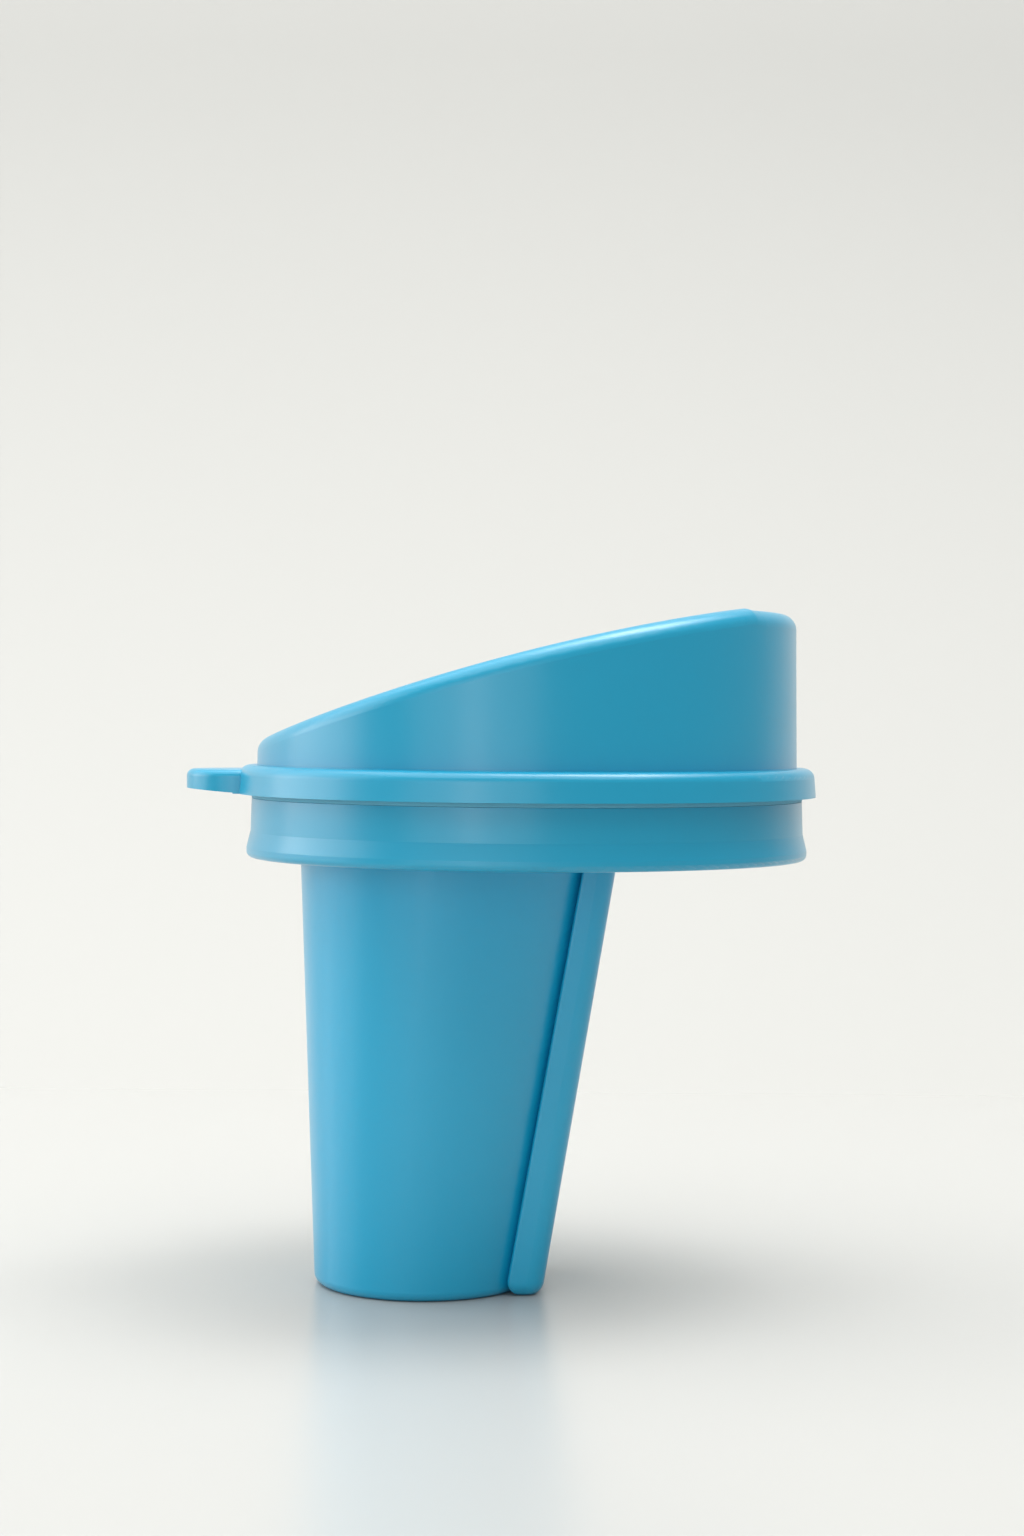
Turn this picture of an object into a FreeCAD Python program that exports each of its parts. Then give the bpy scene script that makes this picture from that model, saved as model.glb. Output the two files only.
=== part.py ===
import FreeCAD, Part
import math
import os
import re
import Sketcher

# A hand-held cereal cup for eating on the move, without its outer tumbler.
# The parts are a tapered cup with a squared chute, a mouthpiece collar that carries it,
# a slanted press-on lid with a thumb tab, and the two soft rings that seal them.
# Millimetres, +Z up. The origin is on the collar's axis, in the plane that the cup stands on.
# +X points to the high drinking side, -X to the thumb tab.

XY, XZ = "XY_Plane", "XZ_Plane"
NEAR = 0.01  # mm: lengths and places closer than this count as the same
SHORTEST = 0.5  # mm: a shorter edge is not taken for an upright corner
LEAST_CUT = 1.0  # mm3: a cut that takes less has missed the piece

SIZES = {
    # lid: one thin moulding, open below
    "lid_wall": 1.2,
    "brim_top": 100.7,
    "skirt_foot": 95.2,
    "skirt_foot_rad": 56.0,
    "skirt_top_rad": 55.6,
    "dome_foot_rad": 52.3,
    "dome_top_rad": 51.9,
    "slope_low_z": 103.6,
    "slope_mid_z": 122.1,
    "slope_end_x": 39.8,
    "slope_end_z": 130.6,
    "blank_top": 134.6,
    "overrun": 1.0,
    "land_start_x": 41.2,
    "land_z": 130.3,
    "crest_round": 2.6,
    "top_round": 3.0,
    "brim_round": 2.0,
    "tab_centre_x": 55.2,
    "tab_rad": 11.0,
    "tab_top": 99.8,
    "tab_tip_foot": 96.2,
    "tab_gap": 0.2,
    "tab_round": 1.4,
    "catch_rad": 54.25,
    "catch_low": 95.5,
    "catch_high": 96.3,
    "catch_slope": 0.3,
    # mouthpiece collar
    "collar_foot": 83.0,
    "bead_rad": 54.3,
    "bead_high": 84.9,
    "neck_low": 88.0,
    "neck_rad": 53.55,
    "neck_top_rad": 53.35,
    "shoulder_low": 96.8,
    "shoulder_rad": 53.9,
    "deck_low": 96.4,
    "deck_top": 98.0,
    "skirt_bore_rad": 52.1,
    "rib_out_rad": 49.2,
    "rib_in_rad": 47.9,
    "rib_foot": 92.6,
    "spout_out_rad": 49.7,
    "spout_wall": 1.3,
    "spout_drop": 4.2,
    "spout_end_z": 126.0,
    "bead_round": 1.1,
    "milk_slot_x": 38.0,
    "milk_slot_wide": 7.0,
    "milk_slot_half": 13.0,
    "slot_round": 3.0,
    "vent_x": -22.0,
    "vent_y": 38.0,
    "vent_rad": 1.2,
    # cereal cup
    "cup_rim": 96.4,
    "foot_x": -19.75,
    "foot_rad": 20.95,
    "mouth_x": -12.8,
    "mouth_rad": 31.6,
    "cup_wall": 1.8,
    "cup_floor": 3.0,
    "foot_round": 2.0,
    "flange_thick": 1.6,
    "flange_wide": 2.2,
    "foot_recess_rad": 15.0,
    "foot_recess": 0.8,
    # chute: the squared lobe on the drinking side
    "chute_foot_left": -3.5,
    "chute_foot_right": 3.6,
    "chute_foot_half": 15.1,
    "chute_mouth_left": 13.2,
    "chute_mouth_right": 19.4,
    "chute_mouth_half": 20.3,
    "chute_corner": 3.4,
    "chute_edge": 0.6,
    "chute_foot_round": 2.8,
    # soft rings
    "band_low": 94.3,
    "band_in_rad": 52.8,
    "rim_ring_thick": 1.5,
    "ring_bevel": 0.15,
}

doc = FreeCAD.newDocument("cereal_cup")
sheet = doc.addObject("Spreadsheet::Sheet", "Sizes")
for row, (alias, value) in enumerate(SIZES.items(), start=1):
    sheet.set(f"A{row}", alias)
    sheet.set(f"B{row}", str(value))
    sheet.setAlias(f"B{row}", alias)
doc.recompute()


def cell(formula):
    """The formula as an expression: each word of the sheet gets the sheet's name in front."""
    return re.sub(r"[a-z]\w*", lambda word: "Sizes." + word.group(), formula)


def body(name):
    made = doc.addObject("PartDesign::Body", name)
    made.Label = name
    return made


def plane_of(owner, role):
    return [plane for plane in owner.Origin.OriginFeatures if plane.Role == role][0]


def sketch(owner, name, plane, height="0"):
    """A sketch on one of the body's own origin planes, lifted by the height formula."""
    made = owner.newObject("Sketcher::SketchObject", name)
    made.AttachmentSupport = [(plane_of(owner, plane), "")]
    made.MapMode = "FlatFace"
    made.setExpression("AttachmentOffset.Base.z", cell(f"({height})") + " * 1mm")
    doc.recompute()
    return made


def place(drawn, geometry, point, x, y):
    """Holds a sketch point at the x and y formulas, measured from the sketch's origin."""
    for kind, formula in (("DistanceX", x), ("DistanceY", y)):
        value = drawn.evalExpression(cell(formula))
        index = drawn.addConstraint(Sketcher.Constraint(kind, -1, 1, geometry, point, value))
        drawn.setExpression(f"Constraints[{index}]", cell(formula))


def number(drawn, formula):
    return float(drawn.evalExpression(cell(formula)))


def outline(drawn, corners):
    """A closed outline of straight sides. A corner is (x, y) in formulas."""
    spots = [FreeCAD.Vector(number(drawn, x), number(drawn, y), 0) for x, y in corners]
    count = len(spots)
    for i in range(count):
        drawn.addGeometry(Part.LineSegment(spots[i], spots[(i + 1) % count]))
    for i in range(count):
        drawn.addConstraint(Sketcher.Constraint("Coincident", i, 2, (i + 1) % count, 1))
    for i, (x, y) in enumerate(corners):
        place(drawn, i, 1, x, y)
    doc.recompute()


def ring(drawn, x, radius, y="0"):
    """A circle, on the sketch's X axis unless y says otherwise."""
    spot = FreeCAD.Vector(number(drawn, x), number(drawn, y), 0)
    index = drawn.addGeometry(Part.Circle(spot, FreeCAD.Vector(0, 0, 1), number(drawn, radius)))
    limit = drawn.addConstraint(Sketcher.Constraint("Radius", index, number(drawn, radius)))
    drawn.setExpression(f"Constraints[{limit}]", cell(radius))
    place(drawn, index, 3, x, y)
    doc.recompute()


def feature(owner, kind, name, **settings):
    made = owner.newObject("PartDesign::" + kind, name)
    for key, value in settings.items():
        setattr(made, key, value)
    doc.recompute()
    return made


def turned(owner, name, corners):
    """A solid of revolution about Z from an outline of (radius, height) corners."""
    drawn = sketch(owner, name + "_section", XZ)
    outline(drawn, corners)
    return feature(owner, "Revolution", name, Profile=drawn, ReferenceAxis=(drawn, ["V_Axis"]),
                   Angle=360.0)


def edges(shape, test):
    """The names of the edges that pass the test."""
    return [f"Edge{i}" for i, edge in enumerate(shape.Edges, start=1) if test(edge)]


def rounded(owner, name, test, radius):
    """Rounds the edges of the body's tip that pass the test."""
    base = owner.Tip
    names = edges(base.Shape, test)
    made = owner.newObject("PartDesign::Fillet", name)
    made.Base = (base, names)
    made.setExpression("Radius", cell(f"({radius})") + " * 1mm")
    doc.recompute()
    return made


def is_circle(radius, height):
    """True for a level circle or arc of that radius at that height."""
    def test(edge):
        curve = edge.Curve
        if not hasattr(curve, "Radius"):
            return False
        level = abs(edge.BoundBox.ZMax - height) < NEAR and edge.BoundBox.ZLength < NEAR
        return level and abs(curve.Radius - radius) < NEAR
    return test


def upright(edge):
    """True for a straight edge that stands upright."""
    box = edge.BoundBox
    return box.ZLength > SHORTEST and box.XLength < NEAR and box.YLength < NEAR


def cut(owner, name, drawn):
    """Cuts the drawing right through the body, both ways."""
    before = owner.Tip.Shape.Volume
    made = feature(owner, "Pocket", name, Profile=drawn, Type="ThroughAll", Midplane=True)
    assert made.Shape.Volume < before - LEAST_CUT, name
    return made


def slope_cut(owner, name, drop, land):
    """Cuts away what is above the slanted top: a long shallow arc, a crest and a level land."""
    drawn = sketch(owner, name + "_line", XZ)
    corners = [
        ("-skirt_foot_rad", f"slope_low_z - {drop}"),
        ("slope_end_x", f"slope_end_z - {drop}"),
        ("land_start_x", land),
        ("skirt_foot_rad", land),
        ("skirt_foot_rad", "blank_top + overrun"),
        ("-skirt_foot_rad", "blank_top + overrun"),
    ]
    spots = [FreeCAD.Vector(number(drawn, x), number(drawn, y), 0) for x, y in corners]
    middle = FreeCAD.Vector(0, number(drawn, f"slope_mid_z - {drop}"), 0)
    for i in range(1, len(spots)):
        drawn.addGeometry(Part.LineSegment(spots[i], spots[(i + 1) % len(spots)]))
    last = len(spots) - 2
    for i in range(last):
        drawn.addConstraint(Sketcher.Constraint("Coincident", i, 2, i + 1, 1))
    for i, (x, y) in enumerate(corners[1:]):
        place(drawn, i, 1, x, y)
    place(drawn, last, 2, *corners[0])
    arc = drawn.addGeometry(Part.Arc(spots[0], middle, spots[1]))
    drawn.addConstraint(Sketcher.Constraint("Coincident", arc, 1, 0, 1))
    drawn.addConstraint(Sketcher.Constraint("Coincident", arc, 2, last, 2))
    guide = drawn.addGeometry(Part.Point(middle), True)
    place(drawn, guide, 1, "0", f"slope_mid_z - {drop}")
    drawn.addConstraint(Sketcher.Constraint("PointOnObject", guide, 1, arc))
    doc.recompute()
    return cut(owner, name, drawn)


# Lid ---------------------------------------------------------------------------------------

def on_crest(edge):
    """True for the two level lines where the slanted top meets its land."""
    box = edge.BoundBox
    return box.XLength < NEAR and box.YLength > SIZES["dome_foot_rad"]


def on_top_edge(edge):
    """True for the edge between the dome's wall and its top."""
    low = SIZES["brim_top"] + SIZES["brim_round"]
    wall = 0.5 * (SIZES["dome_foot_rad"] + SIZES["dome_top_rad"])
    taper = SIZES["dome_foot_rad"] - SIZES["dome_top_rad"]
    ends = [vertex.Point for vertex in edge.Vertexes]
    on_wall = all(abs(math.hypot(p.x, p.y) - wall) < taper for p in ends)
    return on_wall and edge.BoundBox.ZMin > low and edge.BoundBox.XLength > 2 * NEAR


def flat_faces(shape, height):
    """The names of the faces that lie flat at that height."""
    flat = []
    for i, face in enumerate(shape.Faces, start=1):
        if face.BoundBox.ZLength < NEAR and abs(face.BoundBox.ZMax - height) < NEAR:
            flat.append(f"Face{i}")
    return flat


def make_lid():
    lid = body("lid_shell")
    turned(lid, "outer_form", [
        ("0", "skirt_foot"),
        ("skirt_foot_rad", "skirt_foot"),
        ("skirt_top_rad", "brim_top"),
        ("dome_foot_rad", "brim_top"),
        ("dome_top_rad", "blank_top"),
        ("0", "blank_top"),
    ])
    rounded(lid, "brim_edge", is_circle(SIZES["skirt_top_rad"], SIZES["brim_top"]), "brim_round")
    tongue = sketch(lid, "tab_plan", XY, "skirt_foot")
    ring(tongue, "-tab_centre_x", "tab_rad")
    tab = feature(lid, "Pad", "thumb_tab", Profile=tongue)
    tab.setExpression("Length", cell("(tab_top - skirt_foot)") + " * 1mm")
    doc.recompute()
    rounded(lid, "tab_edge", is_circle(SIZES["tab_rad"], SIZES["tab_top"]), "tab_round")
    slope_cut(lid, "slanted_top", "0", "land_z")
    rounded(lid, "crest", on_crest, "crest_round")
    rounded(lid, "top_edge", on_top_edge, "top_round")
    hollow = feature(lid, "Thickness", "hollow", Reversed=True, Base=(
        lid.Tip, flat_faces(lid.Tip.Shape, SIZES["skirt_foot"])))
    hollow.setExpression("Value", cell("(lid_wall)") + " * 1mm")
    doc.recompute()
    # the tab's rim gets shallower towards its tip
    slant = sketch(lid, "tab_foot_line", XZ)
    outline(slant, [
        ("-tab_centre_x - tab_rad - overrun", "skirt_foot - overrun"),
        ("-skirt_foot_rad - tab_gap", "skirt_foot - overrun"),
        ("-skirt_foot_rad - tab_gap", "skirt_foot + tab_gap"),
        ("-tab_centre_x - tab_rad - overrun", "tab_tip_foot"),
    ])
    cut(lid, "tab_foot", slant)
    # a low catch inside the skirt that snaps under the collar's shoulder
    turned(lid, "catch", [
        ("catch_rad", "catch_low + catch_slope"),
        ("skirt_foot_rad - lid_wall / 2", "catch_low"),
        ("skirt_foot_rad - lid_wall / 2", "catch_high"),
        ("catch_rad", "catch_high - catch_slope"),
    ])
    return lid


# Mouthpiece collar -------------------------------------------------------------------------

def chute_plan(owner, name, height, left, right, half, inset):
    """The chute's section: a rectangle from left to right, its other three sides moved in."""
    drawn = sketch(owner, name, XY, height)
    outline(drawn, [
        (left, f"-({half}) + {inset}"),
        (f"{right} - {inset}", f"-({half}) + {inset}"),
        (f"{right} - {inset}", f"{half} - {inset}"),
        (left, f"{half} - {inset}"),
    ])
    return drawn


def make_collar():
    collar = body("mouthpiece_collar")
    turned(collar, "collar_form", [
        ("0", "deck_low"),
        ("rib_in_rad", "deck_low"),
        ("rib_in_rad", "rib_foot"),
        ("rib_out_rad", "rib_foot"),
        ("rib_out_rad", "deck_low"),
        ("skirt_bore_rad", "deck_low"),
        ("skirt_bore_rad", "collar_foot"),
        ("bead_rad", "collar_foot"),
        ("bead_rad", "bead_high"),
        ("neck_rad", "neck_low"),
        ("neck_top_rad", "band_low"),
        ("band_in_rad", "band_low"),
        ("band_in_rad", "shoulder_low"),
        ("shoulder_rad", "shoulder_low"),
        ("shoulder_rad", "deck_top"),
        ("spout_out_rad", "deck_top"),
        ("spout_out_rad", "slope_end_z"),
        ("spout_out_rad - spout_wall", "slope_end_z"),
        ("spout_out_rad - spout_wall", "deck_top"),
        ("0", "deck_top"),
    ])
    rounded(collar, "bead_edge", is_circle(SIZES["bead_rad"], SIZES["collar_foot"]), "bead_round")
    slope_cut(collar, "spout_top", "spout_drop", "spout_end_z")
    wide = sketch(collar, "cup_mouth_plan", XY, "deck_low")
    ring(wide, "mouth_x", "mouth_rad - cup_wall")
    cut(collar, "cup_mouth", wide)
    lobe = chute_plan(collar, "chute_mouth_plan", "deck_low", "0", "chute_mouth_right",
                      "chute_mouth_half", "cup_wall")
    cut(collar, "chute_mouth", lobe)
    slot = sketch(collar, "milk_slot_plan", XY, "deck_low")
    outline(slot, [
        ("milk_slot_x - milk_slot_wide / 2", "-milk_slot_half"),
        ("milk_slot_x + milk_slot_wide / 2", "-milk_slot_half"),
        ("milk_slot_x + milk_slot_wide / 2", "milk_slot_half"),
        ("milk_slot_x - milk_slot_wide / 2", "milk_slot_half"),
    ])
    cut(collar, "milk_slot", slot)
    vent = sketch(collar, "vent_plan", XY, "deck_low")
    ring(vent, "vent_x", "vent_rad", "vent_y")
    cut(collar, "vent", vent)
    inner, outer = SIZES["chute_mouth_left"], SIZES["chute_mouth_right"]
    rounded(collar, "slot_ends", lambda e: upright(e) and e.BoundBox.XMin > outer, "slot_round")
    rounded(collar, "mouth_corners", lambda e: upright(e) and inner < e.BoundBox.XMin < outer,
            "chute_corner - cup_wall")
    return collar


# Cereal cup --------------------------------------------------------------------------------

def along(foot, mouth, height):
    """A size that changes evenly from the foot to the rim, at that height."""
    return f"({foot} + ({mouth} - {foot}) * ({height}) / cup_rim)"


def flat_edge(height):
    """True for an edge that lies level at that height."""
    def test(edge):
        box = edge.BoundBox
        return box.ZLength < NEAR and abs(box.ZMax - height) < NEAR
    return test


def leaning_edge(left_side):
    """True for the chute's long edges on its left, inner side or on its right, outer side."""
    middle = 0.5 * (SIZES["chute_mouth_left"] + SIZES["chute_mouth_right"])

    def test(edge):
        box = edge.BoundBox
        return box.ZLength > SIZES["cup_rim"] / 2 and (box.XMax < middle) == left_side
    return test


def level_circle(name, x, height, radius):
    """A level circle with its centre above the X axis."""
    made = doc.addObject("Part::Circle", name)
    made.setExpression("Radius", cell(f"({radius})") + " * 1mm")
    made.setExpression("Placement.Base.x", cell(f"({x})") + " * 1mm")
    made.setExpression("Placement.Base.z", cell(f"({height})") + " * 1mm")
    doc.recompute()
    return made


def cone_form(name, low, wall, foot_round):
    """The round part of the cup: an oblique cone, a wall thickness in from its outer face."""
    foot_x = along("foot_x", "mouth_x", low)
    foot_rad = along("foot_rad", "mouth_rad", low)
    foot = level_circle(name + "_foot", foot_x, low, f"{foot_rad} - {wall}")
    rim = level_circle(name + "_rim", "mouth_x", "cup_rim", f"mouth_rad - {wall}")
    loft = doc.addObject("Part::Loft", name + "_loft")
    loft.Sections = [foot, rim]
    loft.Solid = True
    loft.Ruled = True
    doc.recompute()
    level = flat_edge(number(sheet, low))
    radius = number(sheet, foot_round)
    made = doc.addObject("Part::Fillet", name)
    made.Base = loft
    made.Edges = [(i, radius, radius) for i, edge in enumerate(loft.Shape.Edges, start=1)
                  if level(edge)]
    doc.recompute()
    return made


def chute_form(name, low, wall, foot_round):
    """The chute lobe: a tapered box, a wall thickness in from its outer face."""
    form = body(name)
    wedge = form.newObject("PartDesign::AdditiveWedge", name + "_wedge")
    wedge.AttachmentSupport = [(plane_of(form, XZ), "")]
    wedge.MapMode = "FlatFace"
    sizes = {"Ymin": low, "Ymax": "cup_rim"}
    for end, height in (("", low), ("2", "cup_rim")):
        half = along("chute_foot_half", "chute_mouth_half", height)
        sizes[f"X{end}min"] = along("chute_foot_left", "chute_mouth_left", height) + f" + {wall}"
        sizes[f"X{end}max"] = along("chute_foot_right", "chute_mouth_right", height) + f" - {wall}"
        sizes[f"Z{end}min"] = f"-{half} + {wall}"
        sizes[f"Z{end}max"] = f"{half} - {wall}"
    for key, formula in sizes.items():
        wedge.setExpression(key, cell(f"({formula})") + " * 1mm")
    doc.recompute()
    rounded(form, name + "_corners", leaning_edge(False), f"chute_corner - {wall}")
    rounded(form, name + "_round", flat_edge(number(sheet, low)), foot_round)
    return form


def make_flange():
    """The rim that is welded to the underside of the deck."""
    flange = body("cup_flange")
    base = "cup_rim - flange_thick"
    disc = sketch(flange, "flange_disc_plan", XY, base)
    ring(disc, "mouth_x", "mouth_rad + flange_wide")
    lobe = chute_plan(flange, "flange_lobe_plan", base, "0", "chute_mouth_right",
                      "chute_mouth_half", "-flange_wide")
    for name, plan in (("flange_disc", disc), ("flange_lobe", lobe)):
        pad = feature(flange, "Pad", name, Profile=plan)
        pad.setExpression("Length", cell("(flange_thick)") + " * 1mm")
        doc.recompute()
    inner = SIZES["chute_mouth_left"]
    rounded(flange, "flange_corners", lambda e: upright(e) and e.BoundBox.XMin > inner,
            "chute_corner + flange_wide")
    return flange


def joined(kind, name, shapes):
    """A boolean of whole shapes: the first less the second for a Cut, else all of them."""
    made = doc.addObject("Part::" + kind, name)
    if kind == "Cut":
        made.Base, made.Tool = shapes
    else:
        made.Shapes = shapes
    made.Label = name
    doc.recompute()
    return made


def foot_recess():
    """A shallow round recess under the cup, so that it stands on a ring."""
    disc = doc.addObject("Part::Cylinder", "foot_recess")
    disc.setExpression("Radius", cell("(foot_recess_rad)") + " * 1mm")
    disc.setExpression("Height", cell("(foot_recess * 2)") + " * 1mm")
    disc.setExpression("Placement.Base.x", cell("(foot_x)") + " * 1mm")
    disc.setExpression("Placement.Base.z", cell("(-foot_recess)") + " * 1mm")
    doc.recompute()
    return disc


def make_cup():
    lobe = chute_form("chute_outside", "0", "0", "chute_foot_round")
    rounded(lobe, "chute_edges", leaning_edge(True), "chute_edge")
    outside = joined("MultiFuse", "cup_outside", [
        cone_form("cone_outside", "0", "0", "foot_round"),
        lobe,
        make_flange(),
    ])
    inside = joined("MultiFuse", "cup_inside", [
        cone_form("cone_inside", "cup_floor", "cup_wall", "foot_round - cup_wall / 2"),
        chute_form("chute_inside", "cup_floor", "cup_wall", "chute_edge"),
        foot_recess(),
    ])
    return joined("Cut", "cereal_cup", [outside, inside])


# Soft rings --------------------------------------------------------------------------------

def make_ring(name, inner, outer, low, high):
    """A ring with a bevel on its outer lower edge."""
    made = body(name)
    turned(made, name + "_form", [
        (inner, low),
        (f"{outer} - ring_bevel", low),
        (outer, f"{low} + ring_bevel"),
        (outer, high),
        (inner, high),
    ])
    return made


lid = make_lid()
collar = make_collar()
cup = make_cup()
lid_ring = make_ring("lid_seal", "band_in_rad", "neck_top_rad", "band_low", "shoulder_low")
rim_ring = make_ring("rim_seal", "rib_out_rad", "skirt_bore_rad", "deck_low - rim_ring_thick",
                     "deck_low")
parts = [lid, collar, cup, lid_ring, rim_ring]

for thing in doc.Objects:
    assert not {"Invalid", "Error"} & set(thing.State), (thing.Name, thing.State)
for part in parts:
    assert not part.Shape.isNull() and part.Shape.isValid(), part.Label
    assert len(part.Shape.Solids) == 1, part.Label

os.makedirs("parts", exist_ok=True)
for part in parts:
    part.Shape.exportStep(f"parts/{part.Label}.step")
    solid = part.Shape.Solids[0]
    centre = solid.CenterOfMass
    print(part.Label, round(solid.Volume), "mm3, centre of mass", round(centre.x, 1),
          round(centre.z, 1))

whole = sum(part.Shape.Volume for part in parts)
lean = sum(part.Shape.Volume * part.Shape.Solids[0].CenterOfMass.x for part in parts) / whole
print("standing: the centre of mass is at x", round(lean, 1), "and the foot ends at x",
      round(SIZES["chute_foot_right"] - SIZES["chute_foot_round"], 1))
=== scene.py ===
import math

import bpy
from mathutils import Matrix, Vector

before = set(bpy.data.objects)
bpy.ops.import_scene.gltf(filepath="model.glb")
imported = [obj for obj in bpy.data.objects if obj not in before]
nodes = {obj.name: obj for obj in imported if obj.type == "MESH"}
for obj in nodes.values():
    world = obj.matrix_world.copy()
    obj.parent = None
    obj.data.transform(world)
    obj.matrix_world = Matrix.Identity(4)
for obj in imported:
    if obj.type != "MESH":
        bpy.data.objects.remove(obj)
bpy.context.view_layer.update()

# Cereal cup --------------------------------------------------------------------------------
# A tapered round cup that meets a squared chute, moulded in one piece from satin blue
# polypropylene. Its flange is welded under the collar's deck.

POLYPROPYLENE_IOR = 1.49
TOOL_POLISH = 0.4  # how much of the skin is the clear, smooth face that a polished tool leaves
TOOL_POLISH_ROUGHNESS = 0.27

# The melt's tone drifts are longer up the piece than across it.
FLOW_STRETCH = (1.0, 1.0, 0.35)
FLOW_RANGE = (0.35, 0.65)
FLOW_DETAIL = 2.0

# The relief's two layers: features per metre, detail, and the input that sets the depth.
RELIEF_LAYERS = ((55.0, 1.0, "Wave depth"), (1600.0, 2.0, "Peel depth"))

# Handling: soft smudges, and scratches stretched along one leaning direction.
SMUDGE_SCALE, SMUDGE_DETAIL, SMUDGE_GRAIN = 38.0, 4.0, 0.6
SMUDGE_RANGE = (0.38, 0.68)
SCRATCH_TILT = (0.4, 0.9, 0.3)
SCRATCH_STRETCH = (60.0, 1.0, 60.0)
SCRATCH_SCALE, SCRATCH_DETAIL = 60.0, 1.0
SCRATCH_RANGE = (0.72, 0.76)


def new_group(name, inputs, outputs):
    """An empty shader group. Inputs are (name, type, value) and outputs are (name, type)."""
    group = bpy.data.node_groups.new(name, "ShaderNodeTree")
    for label, kind, value in inputs:
        socket = group.interface.new_socket(label, in_out="INPUT", socket_type=kind)
        socket.default_value = value
    for label, kind in outputs:
        group.interface.new_socket(label, in_out="OUTPUT", socket_type=kind)
    start = group.nodes.new("NodeGroupInput")
    end = group.nodes.new("NodeGroupOutput")
    return group, start.outputs, end.inputs


def noise(tree, coords, scale, detail, roughness=0.5):
    """A noise texture on those coordinates; its scale is in features per metre."""
    made = tree.nodes.new("ShaderNodeTexNoise")
    made.inputs["Detail"].default_value = detail
    made.inputs["Roughness"].default_value = roughness
    if isinstance(scale, bpy.types.NodeSocket):
        tree.links.new(scale, made.inputs["Scale"])
    else:
        made.inputs["Scale"].default_value = scale
    tree.links.new(coords, made.inputs["Vector"])
    return made.outputs["Fac"]


def spread(tree, value, low, high, to_low, to_high):
    """The value taken from the range low..high to the range to_low..to_high, held inside it."""
    made = tree.nodes.new("ShaderNodeMapRange")
    for label, limit in (("From Min", low), ("From Max", high)):
        made.inputs[label].default_value = limit
    for label, limit in (("To Min", to_low), ("To Max", to_high)):
        if isinstance(limit, bpy.types.NodeSocket):
            tree.links.new(limit, made.inputs[label])
        else:
            made.inputs[label].default_value = limit
    tree.links.new(value, made.inputs["Value"])
    return made.outputs["Result"]


def blend_colours(tree, share, first, second):
    """The first colour where share is 0 and the second where it is 1."""
    made = tree.nodes.new("ShaderNodeMix")
    made.data_type = "RGBA"
    tree.links.new(share, made.inputs[0])
    tree.links.new(first, made.inputs[6])
    tree.links.new(second, made.inputs[7])
    return made.outputs[2]


def body_coords(tree):
    """The piece's own coordinates in metres, which stay on it as it moves."""
    return tree.nodes.new("ShaderNodeTexCoord").outputs["Object"]


def moulded_tone_group():
    """Slow drifts of tone along the way that the melt flowed."""
    group, given, made = new_group(
        "moulded_tone",
        [("Tone", "NodeSocketColor", (1, 1, 1, 1)),
         ("Flow tone", "NodeSocketColor", (1, 1, 1, 1)),
         ("Flow size", "NodeSocketFloat", 30.0),
         ("Flow share", "NodeSocketFloat", 0.3)],
        [("Tone", "NodeSocketColor")])
    coords = body_coords(group)
    stretch = group.nodes.new("ShaderNodeMapping")
    stretch.inputs["Scale"].default_value = FLOW_STRETCH
    group.links.new(coords, stretch.inputs["Vector"])
    flow = noise(group, stretch.outputs["Vector"], given["Flow size"], FLOW_DETAIL)
    share = spread(group, flow, *FLOW_RANGE, 0.0, given["Flow share"])
    toned = blend_colours(group, share, given["Tone"], given["Flow tone"])
    group.links.new(toned, made["Tone"])
    return group


def moulded_skin_group():
    """The skin that the polished tool leaves: a slow waviness over a very fine orange peel."""
    group, given, made = new_group(
        "moulded_skin",
        [("Wave depth", "NodeSocketFloat", 0.00001),
         ("Peel depth", "NodeSocketFloat", 0.0000006)],
        [("Height", "NodeSocketFloat")])
    coords = body_coords(group)
    heights = []
    for scale, detail, depth in RELIEF_LAYERS:
        lift = group.nodes.new("ShaderNodeMath")
        lift.operation = "MULTIPLY"
        group.links.new(noise(group, coords, scale, detail), lift.inputs[0])
        group.links.new(given[depth], lift.inputs[1])
        heights.append(lift.outputs["Value"])
    total = group.nodes.new("ShaderNodeMath")
    total.operation = "ADD"
    group.links.new(heights[0], total.inputs[0])
    group.links.new(heights[1], total.inputs[1])
    group.links.new(total.outputs["Value"], made["Height"])
    return group


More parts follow.
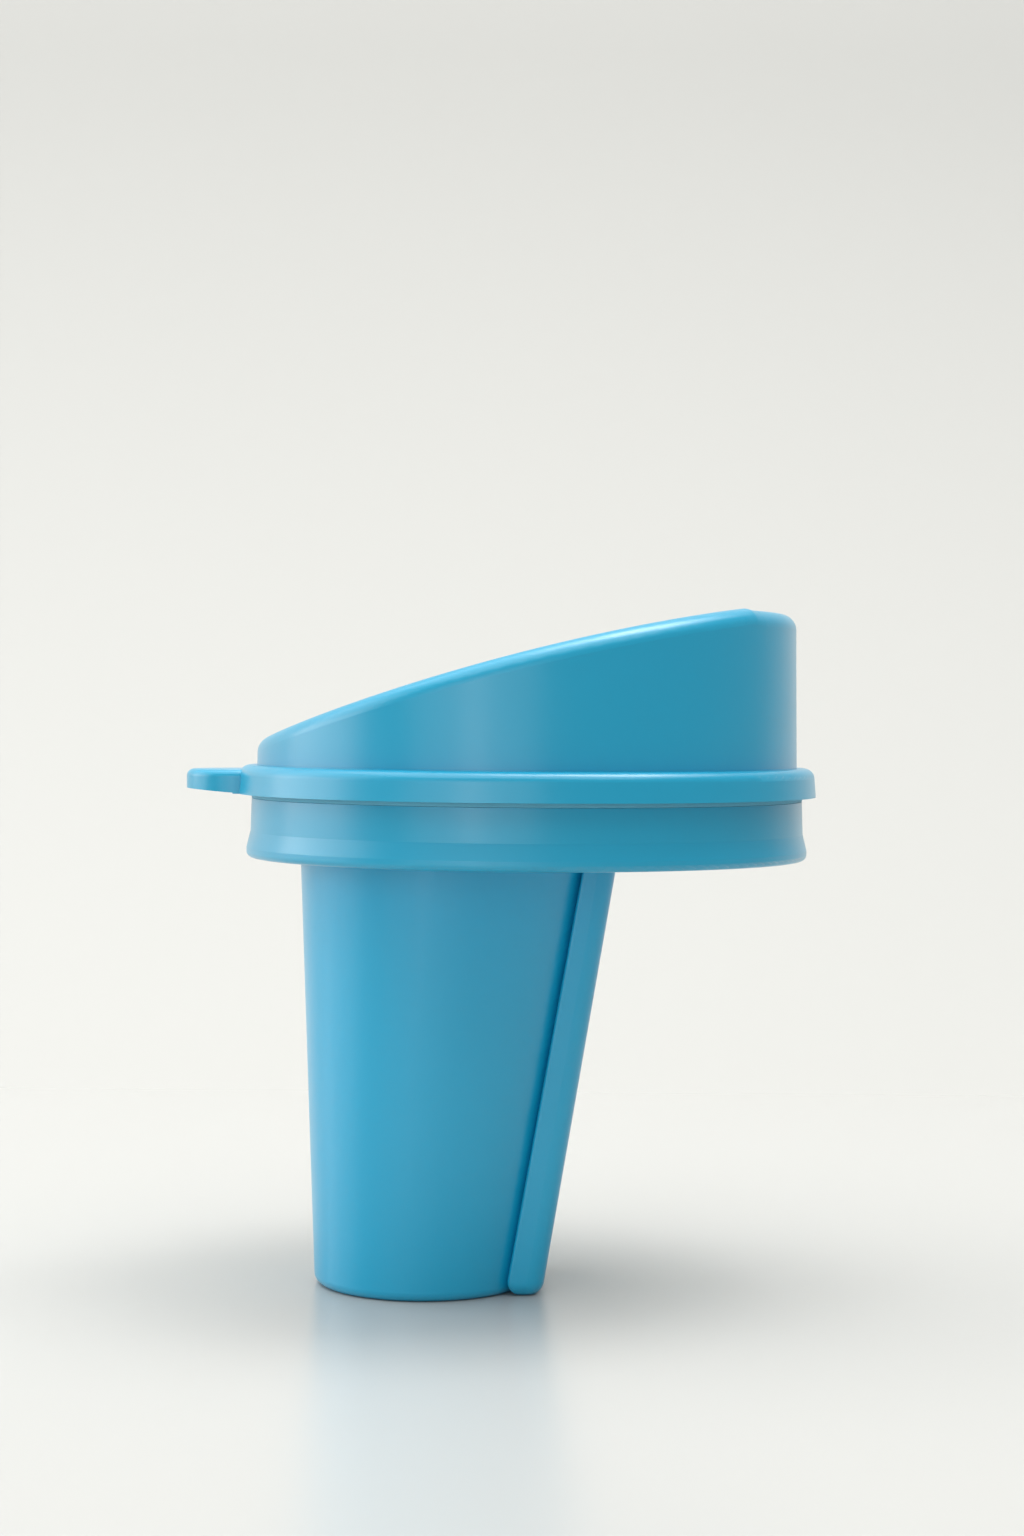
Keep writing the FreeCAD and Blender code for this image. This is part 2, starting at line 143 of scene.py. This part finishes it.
def handling_group():
    """Where hands and washing have dulled the skin: soft smudges and short fine scratches."""
    group, given, made = new_group(
        "handling",
        [("Clean roughness", "NodeSocketFloat", 0.3),
         ("Dull roughness", "NodeSocketFloat", 0.4),
         ("Scratch share", "NodeSocketFloat", 0.5)],
        [("Roughness", "NodeSocketFloat")])
    coords = body_coords(group)
    clouds = noise(group, coords, SMUDGE_SCALE, SMUDGE_DETAIL, SMUDGE_GRAIN)
    smudges = spread(group, clouds, *SMUDGE_RANGE, 0.0, 1.0)
    turned = group.nodes.new("ShaderNodeMapping")
    turned.inputs["Rotation"].default_value = SCRATCH_TILT
    turned.inputs["Scale"].default_value = SCRATCH_STRETCH
    group.links.new(coords, turned.inputs["Vector"])
    scratches = noise(group, turned.outputs["Vector"], SCRATCH_SCALE, SCRATCH_DETAIL)
    scratched = spread(group, scratches, *SCRATCH_RANGE, 0.0, given["Scratch share"])
    both = group.nodes.new("ShaderNodeMath")
    both.operation = "MAXIMUM"
    group.links.new(smudges, both.inputs[0])
    group.links.new(scratched, both.inputs[1])
    rough = group.nodes.new("ShaderNodeMix")
    group.links.new(both.outputs["Value"], rough.inputs[0])
    group.links.new(given["Clean roughness"], rough.inputs[2])
    group.links.new(given["Dull roughness"], rough.inputs[3])
    group.links.new(rough.outputs[0], made["Roughness"])
    return group


moulded_tone = moulded_tone_group()
moulded_skin = moulded_skin_group()
handling = handling_group()


def placed(material, group, **values):
    """A group's node in the material, with its inputs set by name."""
    node = material.node_tree.nodes.new("ShaderNodeGroup")
    node.node_tree = group
    for label, value in values.items():
        node.inputs[label.replace("_", " ").capitalize()].default_value = value
    return node.outputs


def moulding(name, tone, flow_tone, flow_share, clean, dull, wave_depth, polish):
    """A material for one injection-moulded colour, with the skin that its tool gave it."""
    material = bpy.data.materials.new(name)
    material.use_nodes = True
    tree = material.node_tree
    skin = tree.nodes["Principled BSDF"]
    skin.inputs["IOR"].default_value = POLYPROPYLENE_IOR
    skin.inputs["Coat Weight"].default_value = polish
    skin.inputs["Coat Roughness"].default_value = TOOL_POLISH_ROUGHNESS
    toned = placed(material, moulded_tone, tone=tone, flow_tone=flow_tone, flow_share=flow_share)
    tree.links.new(toned["Tone"], skin.inputs["Base Color"])
    worn = placed(material, handling, clean_roughness=clean, dull_roughness=dull)
    tree.links.new(worn["Roughness"], skin.inputs["Roughness"])
    relief = placed(material, moulded_skin, wave_depth=wave_depth)
    bump = tree.nodes.new("ShaderNodeBump")
    bump.inputs["Distance"].default_value = 1.0
    tree.links.new(relief["Height"], bump.inputs["Height"])
    tree.links.new(bump.outputs["Normal"], skin.inputs["Normal"])
    return material


def dress(node, material):
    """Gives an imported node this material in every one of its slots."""
    for holder in nodes[node].material_slots:
        holder.material = material


# The cup's blue is a little lighter than the collar's and lid's: that lift is painted light, for
# the light on the cup's front.
CUP_BLUE_WITH_PAINTED_LIGHT = (0.004, 0.365, 0.61, 1)
LIGHTER_CUP_BLUE_WITH_PAINTED_LIGHT = (0.008, 0.395, 0.64, 1)

cup_blue_with_painted_light = moulding("cup_blue_with_painted_light", CUP_BLUE_WITH_PAINTED_LIGHT, LIGHTER_CUP_BLUE_WITH_PAINTED_LIGHT, 0.25, 0.28, 0.33, 0.000012,
                    TOOL_POLISH)
dress("cereal_cup", cup_blue_with_painted_light)

# Mouthpiece collar -------------------------------------------------------------------------
# The moulding that the rest hangs from: a flared skirt that presses over a tumbler's rim, and
# a spout under the lid. The lid shares its blue, and the cup's blue is set lighter than both as
# painted light.

BLUE = (0.002, 0.305, 0.50, 1)
LIGHTER_BLUE = (0.004, 0.335, 0.53, 1)

collar_blue = moulding("collar_blue", BLUE, LIGHTER_BLUE, 0.2, 0.28, 0.33, 0.00001, TOOL_POLISH)
dress("mouthpiece_collar", collar_blue)

# Soft rings --------------------------------------------------------------------------------
# Two pale blue silicone rings, stretched into the collar's grooves and held by their own pull.
# The lid's ring shows as a thin light line under its skirt, the rim's ring is inside.

PALE_BLUE = (0.10, 0.40, 0.55, 1)
PALER_BLUE = (0.14, 0.44, 0.58, 1)

soft = moulding("soft_silicone", PALE_BLUE, PALER_BLUE, 0.2, 0.5, 0.6, 0.00002, 0.0)
dress("rim_seal", soft)
dress("lid_seal", soft)

# Lid ---------------------------------------------------------------------------------------
# A thin polypropylene shell with a slanted top and a thumb tab, moulded in one piece.
# A low catch inside its skirt holds it on the collar, and it lifts straight off.

lid_blue = moulding("lid_blue", BLUE, LIGHTER_BLUE, 0.2, 0.28, 0.33, 0.00001, TOOL_POLISH)
dress("lid_shell", lid_blue)

# Table and backdrop ------------------------------------------------------------------------
# A white laminate table top in front of a matt pale wall that sweeps up from behind it.
# The laminate has a clear hard finish, so the cup's foot shows in it.

STAGE_WIDE = 3.6
TABLE_FRONT = -1.6
TABLE_BACK = 0.27
SWEEP_RADIUS = 0.4
SWEEP_STEPS = 24
WALL_TOP = 1.5
TABLE_TONE, TABLE_ROUGHNESS = (0.50, 0.50, 0.487, 1), 0.28
WALL_TONE, WALL_ROUGHNESS = (0.485, 0.485, 0.471, 1), 0.8


def stage_sheet(name, profile, tone, roughness):
    """A smooth sheet, level from side to side, through (distance behind the cup, height)."""
    verts = [(side * STAGE_WIDE / 2, y, z) for y, z in profile for side in (-1, 1)]
    faces = [(2 * i, 2 * i + 1, 2 * i + 3, 2 * i + 2) for i in range(len(profile) - 1)]
    mesh = bpy.data.meshes.new(name)
    mesh.from_pydata(verts, [], faces)
    mesh.shade_smooth()
    sheet = bpy.data.objects.new(name, mesh)
    bpy.context.scene.collection.objects.link(sheet)
    finish = bpy.data.materials.new(name + "_finish")
    finish.use_nodes = True
    skin = finish.node_tree.nodes["Principled BSDF"]
    skin.inputs["Base Color"].default_value = tone
    skin.inputs["Roughness"].default_value = roughness
    mesh.materials.append(finish)


sweep = [(TABLE_BACK, 0.0)]
for step in range(1, SWEEP_STEPS + 1):
    rise = 0.5 * math.pi * step / SWEEP_STEPS
    sweep.append((TABLE_BACK + SWEEP_RADIUS * math.sin(rise),
                  SWEEP_RADIUS * (1 - math.cos(rise))))
sweep.append((TABLE_BACK + SWEEP_RADIUS, WALL_TOP))

stage_sheet("table_top", [(TABLE_FRONT, 0.0), (TABLE_BACK, 0.0)], TABLE_TONE,
            TABLE_ROUGHNESS)
stage_sheet("back_wall", sweep, WALL_TONE, WALL_ROUGHNESS)

# Light -------------------------------------------------------------------------------------
# Plain soft studio light in a pale room. A wide ceiling with two smaller lamps under it gives
# the shadows, three panels at the left stand for windows, and the viewer's side is dim.

LAMP_TINT = (1.0, 1.0, 0.985)
ROOM_TINT = (0.9, 0.9, 0.88, 1)
ROOM_STRENGTH = 0.45


def soft_box(name, place, aim, size, watts):
    """A rectangular light at place, facing aim. The size is its width and height."""
    light = bpy.data.lights.new(name, "AREA")
    light.shape = "RECTANGLE"
    light.size, light.size_y = size
    light.energy = watts
    light.color = LAMP_TINT
    lamp = bpy.data.objects.new(name, light)
    lamp.location = place
    lamp.rotation_euler = (Vector(aim) - Vector(place)).to_track_quat("-Z", "Y").to_euler()
    lamp.visible_camera = False
    bpy.context.scene.collection.objects.link(lamp)


MIDDLE = (0.0, 0.0, 0.07)  # half way up the object
soft_box("window", (-0.95, 0.05, 0.45), MIDDLE, (0.9, 0.8), 3.1)
soft_box("low_window", (-1.0, 0.1, 0.22), MIDDLE, (0.7, 0.35), 1.2)
soft_box("back_window", (-0.75, 0.4, 0.5), MIDDLE, (0.6, 0.8), 0.9)
soft_box("ceiling", (0.0, -0.2, 1.25), (0.0, -0.2, 0.0), (2.0, 1.7), 19.0)
soft_box("overhead", (0.0, 0.0, 1.2), MIDDLE, (0.45, 0.45), 2.5)
soft_box("overhead_right", (0.33, 0.05, 1.15), MIDDLE, (0.45, 0.45), 4.5)
soft_box("side_lamp", (-0.38, -0.98, 0.20), MIDDLE, (0.14, 0.26), 0.3)
soft_box("front_fill", (-0.45, -1.15, 0.25), MIDDLE, (1.2, 0.6), 2.4)
soft_box("wall_wash", (0.0, 0.3, 1.1), (0.0, 0.67, 0.4), (1.6, 0.4), 1.0)

world = bpy.data.worlds.new("pale_room")
bpy.context.scene.world = world
world.use_nodes = True
room = world.node_tree.nodes["Background"]
room.inputs["Color"].default_value = ROOM_TINT
room.inputs["Strength"].default_value = ROOM_STRENGTH
bpy.context.scene.view_settings.view_transform = "Standard"

# Camera ------------------------------------------------------------------------------------
# At arm's length in front of the cup, a little above the lid's brim, looking slightly down.
# The angles are in degrees, the lens and the sensor's height in millimetres.

EYE = (0.0, -0.536, 0.1106)
YAW, PITCH, ROLL = (math.radians(angle) for angle in (0.31, -1.1, 0.42))
LENS, SENSOR = 64.5, 36.0
NEAREST = 0.01  # metres

lens = bpy.data.cameras.new("camera")
lens.sensor_fit = "VERTICAL"
lens.sensor_height = SENSOR
lens.sensor_width = SENSOR
lens.lens = LENS
lens.clip_start = NEAREST
viewer = bpy.data.objects.new("camera", lens)
turn = (Matrix.Rotation(YAW, 4, "Z") @ Matrix.Rotation(math.pi / 2 + PITCH, 4, "X")
        @ Matrix.Rotation(ROLL, 4, "Z"))
viewer.matrix_world = Matrix.Translation(EYE) @ turn
bpy.context.scene.collection.objects.link(viewer)
bpy.context.scene.camera = viewer
